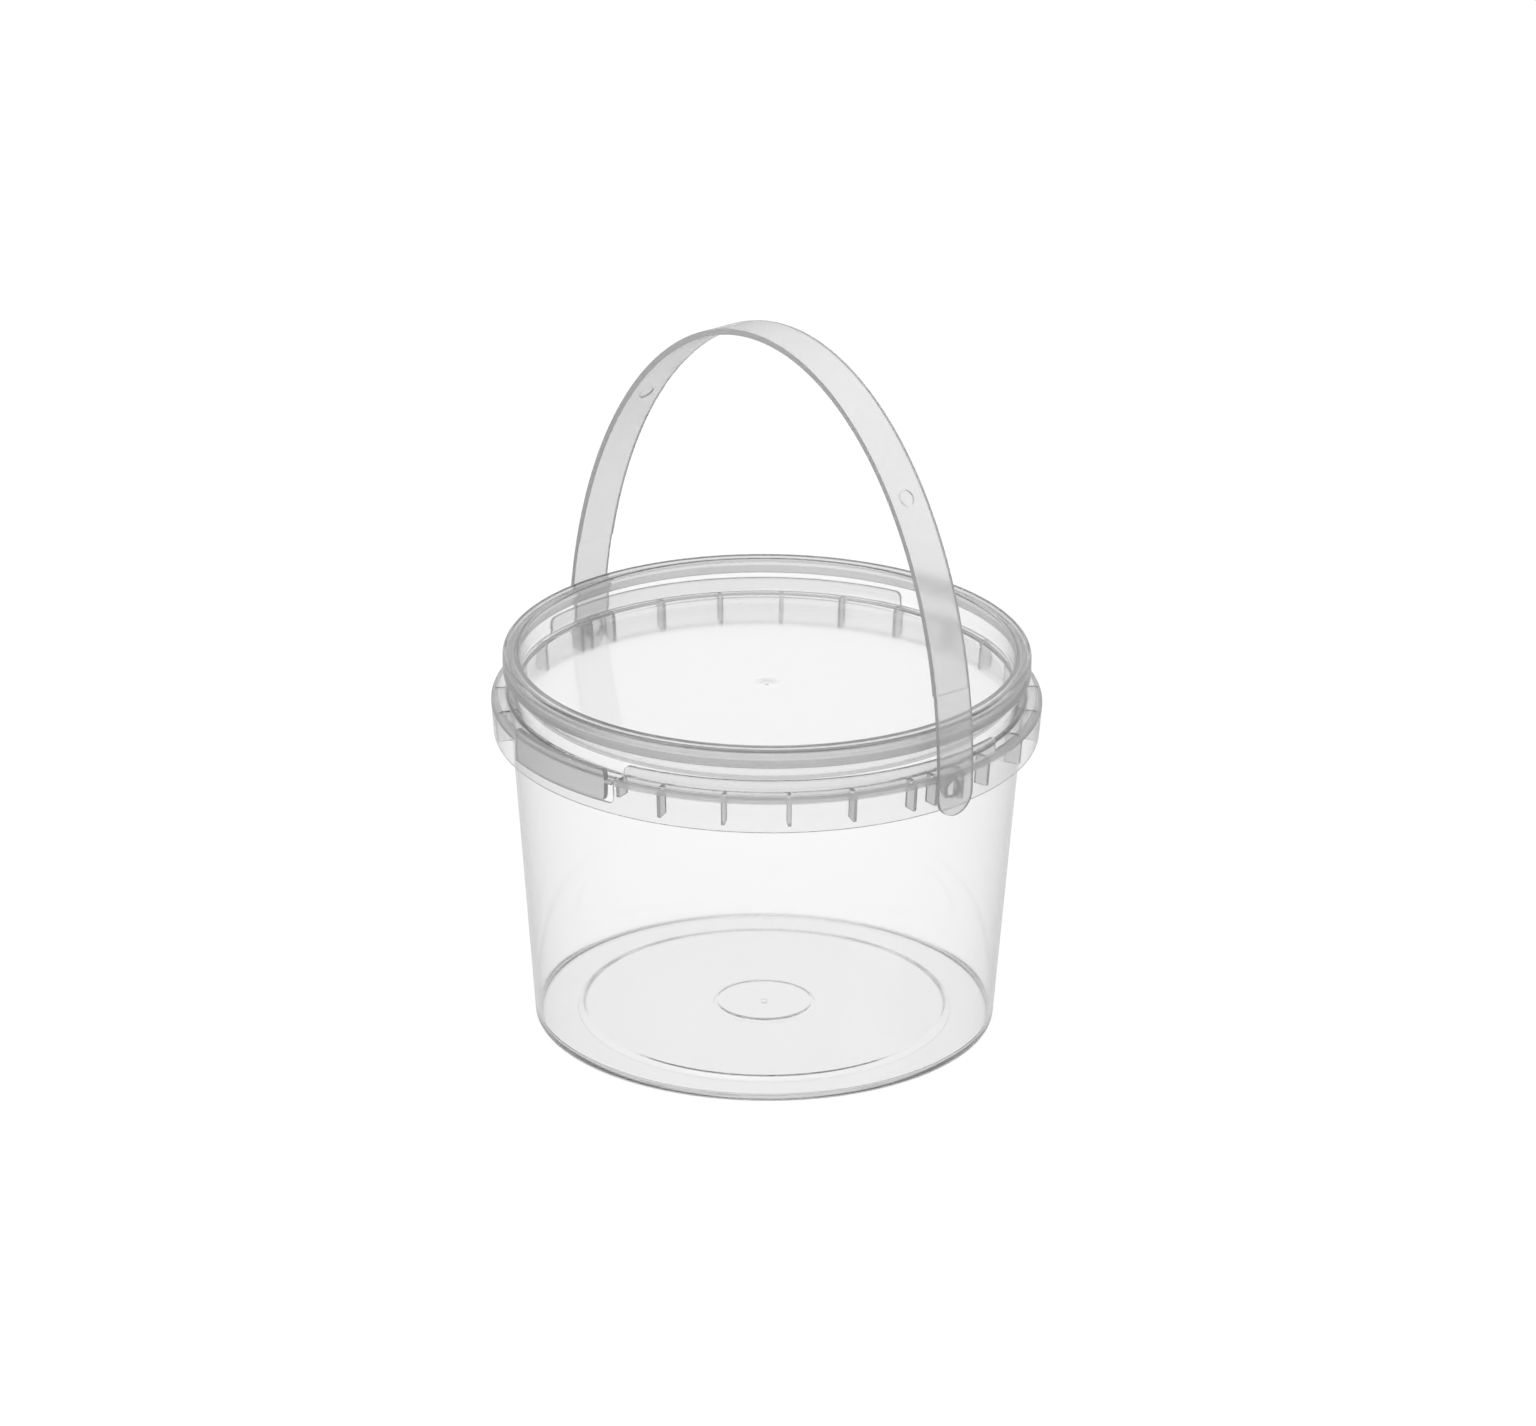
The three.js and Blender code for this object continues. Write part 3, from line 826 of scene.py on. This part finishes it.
# The lid: a snap lid in the same clear plastic, one thin moulding. Its channel sits over
# the rim, its plug wall goes down inside the neck, and its flat panel has a gate mark.
lid_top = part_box("lid")[1].z
lid_gap = 0.3 * MM
lid_wall = 1.0 * MM
lid_corner_round = 0.85 * MM
roof_bottom = lid_top - lid_wall
channel_round = 0.4 * MM
panel_top = lid_top - 8.8 * MM
panel_bottom = panel_top - 0.9 * MM
plug_radius = neck_inner - lid_gap
plug_inner = plug_radius - lid_wall
plug_taper = 0.4 * MM
plug_top_round = 0.5 * MM
plug_foot_round = 3.4 * MM
panel_edge_round = 2.5 * MM
lid_skirt_inner = neck_radius + bead + lid_gap
lid_skirt_outer = lid_skirt_inner + 0.75 * MM
lid_bottom = lid_top - 4.6 * MM
lid_lip_round = 0.15 * MM
hook = 0.2 * MM
hook_rise = 0.5 * MM
hook_round = 0.05 * MM
dimple_radius = 3.4 * MM
dimple_slope = 2.0 * MM
dimple_bottom = panel_top - 0.17 * MM
dimple_round = 3.0 * MM
nub_radius = 0.6 * MM
lid_outline = [
    (nub_radius, panel_bottom, 0),
    (plug_radius - plug_taper, panel_bottom, plug_foot_round),
    (plug_radius, roof_bottom, channel_round),
    (lid_skirt_inner, roof_bottom, channel_round),
    (lid_skirt_inner, lid_bottom + 2 * hook_rise, 0),
    (lid_skirt_inner - hook, lid_bottom + hook_rise, hook_round),
    (lid_skirt_inner, lid_bottom, 0),
    (lid_skirt_outer, lid_bottom, lid_lip_round),
    (lid_skirt_outer, lid_top, lid_corner_round),
    (plug_inner, lid_top, plug_top_round),
    (plug_inner - plug_taper, panel_top, panel_edge_round),
    (dimple_radius, panel_top, dimple_round),
    (dimple_radius - dimple_slope, dimple_bottom, dimple_round),
    (nub_radius, dimple_bottom, 0),
    (nub_radius, panel_top, 0),
]
snap_lid = turned_solid("snap_lid", lid_outline)
finish_surface(snap_lid)
lid_plastic = moulded_plastic(
    "lid_plastic", milk=0.01, edge_milk=0.03, grey=0.55, roughness=0.08
)
dress(snap_lid, lid_plastic, "lid", "lid_plastic", "lid")

# The lid's rim is made milkier and greyer, most of all round the lower half of its outer
# skirt: painted shade for the light that goes through several walls there.
RIM_PAINTED_SHADE_SLOT = 1
rim_painted_shade_band = (lid_bottom - 1 * MM, lid_bottom + 2.1 * MM, 0.2)
rim_from = lid_skirt_inner - 1.5 * hook
rim_painted_shade = moulded_plastic(
    "rim_painted_shade", milk=0.15, edge_milk=0.25, grey=0.42, roughness=0.08, painted_shade_bands=(rim_painted_shade_band,)
)
snap_lid.data.materials.append(rim_painted_shade)
for face in snap_lid.data.polygons:
    if math.hypot(face.center.x, face.center.y) > rim_from:
        face.material_index = RIM_PAINTED_SHADE_SLOT

# The handle: one strap moulded in a milkier plastic, with a half-round foot at each end.
# Its legs are a little thinner, and a peg with a wider head on each snaps into the skirt.
# Two round ejector marks are left on the inside of the arch, and it leans back slightly.
ARCH_STEPS = 128
FOOT_STEPS = 10
EDGE_STEPS = 3
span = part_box("handle")[1].x
arch_height = 95.5 * MM
strap_half = 10.7 * MM / 2
foot_round = strap_half * 0.998
handle_lean = math.radians(1.4)
strap = 1.5 * MM
strap_edge_round = 0.25 * MM
strap_edge_angle = math.radians(50)
leg = 1.2 * MM
leg_rise = 24.0 * MM
leg_tail = 6.5 * MM
step_height = pivot_height + leg_rise
step_width = 0.1 * MM
bpy.ops.object.select_all(action="DESELECT")
bpy.ops.mesh.primitive_plane_add(
    size=2 * strap_half, location=(span - strap_half, 0, pivot_height)
)
strap_handle = bpy.context.object
strap_handle.name = "strap_handle"
bpy.ops.object.transform_apply(location=True, rotation=False, scale=False)
bpy.ops.object.mode_set(mode="EDIT")
pick("VERT", lambda vertex: vertex.co.x < span - strap_half)
bpy.ops.mesh.delete(type="VERT")
bpy.ops.mesh.select_all(action="SELECT")
bpy.ops.mesh.spin(
    steps=ARCH_STEPS, angle=math.pi, center=(0, 0, pivot_height), axis=(0, 1, 0)
)
bpy.ops.mesh.select_all(action="SELECT")
bpy.ops.transform.resize(
    value=(1, 1, arch_height / span), center_override=(0, 0, pivot_height)
)
pick("EDGE", lambda edge: is_level_at(edge, pivot_height))
bpy.ops.mesh.extrude_edges_move(TRANSFORM_OT_translate={"value": (0, 0, -leg_tail)})
pick("VERT", lambda vertex: vertex.co.z < pivot_height - leg_tail / 2)
bpy.ops.mesh.bevel(
    offset=foot_round, segments=FOOT_STEPS, affect="VERTICES", clamp_overlap=False
)
for height in (step_height, step_height + step_width):
    bpy.ops.mesh.select_all(action="SELECT")
    bpy.ops.mesh.bisect(plane_co=(0, 0, height), plane_no=(0, 0, 1))
bpy.ops.mesh.select_all(action="SELECT")
bpy.ops.mesh.normals_make_consistent(inside=False)
bpy.ops.object.mode_set(mode="OBJECT")
thickness = strap_handle.vertex_groups.new(name="strap_thickness")
for vertex in strap_handle.data.vertices:
    is_leg = vertex.co.z < step_height + step_width / 2
    thickness.add([vertex.index], leg / strap if is_leg else 1.0, "REPLACE")
walls = strap_handle.modifiers.new("strap", "SOLIDIFY")
walls.thickness = strap
walls.offset = -1
walls.use_even_offset = True
walls.vertex_group = thickness.name
bpy.ops.object.modifier_apply(modifier=walls.name)
edges = strap_handle.modifiers.new("edges", "BEVEL")
edges.width = strap_edge_round
edges.segments = EDGE_STEPS
edges.limit_method = "ANGLE"
edges.angle_limit = strap_edge_angle
bpy.ops.object.modifier_apply(modifier=edges.name)

peg_bury = 0.4 * MM
head_outer = skirt_radius_at(pivot_height) - skirt_wall - 0.3 * MM
head_inner = head_outer - 1.1 * MM
head_radius = 2.7 * MM
head_tip_radius = 2.1 * MM
peg_from = head_outer - peg_bury
peg_to = span - leg + peg_bury
for side in (1, -1):
    shank = bar("peg", side * peg_from, side * peg_to, peg_radius, peg_radius)
    combine(strap_handle, shank, "UNION")
    head = bar(
        "peg_head", side * head_inner, side * head_outer, head_tip_radius, head_radius
    )
    combine(strap_handle, head, "UNION")

MARK_SIDES = 40
mark_radius = 2.0 * MM
mark_depth = 0.45 * MM
cutter_length = 2.0 * MM
mark_turn = math.radians(45.2)
mark_rise = arch_height * math.sin(mark_turn)
mark_at = Vector((span * math.cos(mark_turn), 0, pivot_height + mark_rise))
mark_faces = Vector((math.cos(mark_turn) / span, 0, math.sin(mark_turn) / arch_height))
mark_faces.normalize()
for side in (1, -1):
    bpy.ops.object.select_all(action="DESELECT")
    bpy.ops.mesh.primitive_cylinder_add(
        vertices=MARK_SIDES,
        radius=mark_radius,
        depth=cutter_length,
        location=mark_at - mark_faces * (strap - mark_depth + cutter_length / 2),
        rotation=mark_faces.to_track_quat("Z", "Y").to_euler(),
    )
    bpy.ops.object.transform_apply(location=True, rotation=True, scale=False)
    combine(strap_handle, bpy.context.object, "DIFFERENCE")
    mark_at.x, mark_faces.x = -mark_at.x, -mark_faces.x
bpy.ops.object.mode_set(mode="EDIT")
bpy.ops.mesh.select_all(action="SELECT")
bpy.ops.transform.rotate(
    value=handle_lean, orient_axis="X", center_override=(0, 0, pivot_height)
)
bpy.ops.object.mode_set(mode="OBJECT")
finish_surface(strap_handle)

STRAP_MOTTLE = 18 * MM
STRAP_EDGE_FINISH = 1
SIDEWAYS_ENOUGH = 0.3
handle_plastic = moulded_plastic(
    "handle_plastic",
    milk=0.32,
    edge_milk=0.05,
    grey=0.75,
    roughness=0.1,
    mottle=STRAP_MOTTLE,
)
dress(strap_handle, handle_plastic, "handle", "handle_plastic", "handle")
strap_edge_plastic = moulded_plastic(
    "strap_edge_plastic",
    milk=0.95,
    edge_milk=0.05,
    grey=0.6,
    roughness=0.2,
    mottle=STRAP_MOTTLE,
)
strap_handle.data.materials.append(strap_edge_plastic)
for face in strap_handle.data.polygons:
    if abs(face.normal.y) > SIDEWAYS_ENOUGH:
        face.material_index = STRAP_EDGE_FINISH

# Light has to pass many thin clear walls, one behind the other, before it gets out.
LIGHT_BOUNCES = 40
bpy.context.scene.cycles.max_bounces = LIGHT_BOUNCES
bpy.context.scene.cycles.glossy_bounces = LIGHT_BOUNCES
bpy.context.scene.cycles.transmission_bounces = LIGHT_BOUNCES
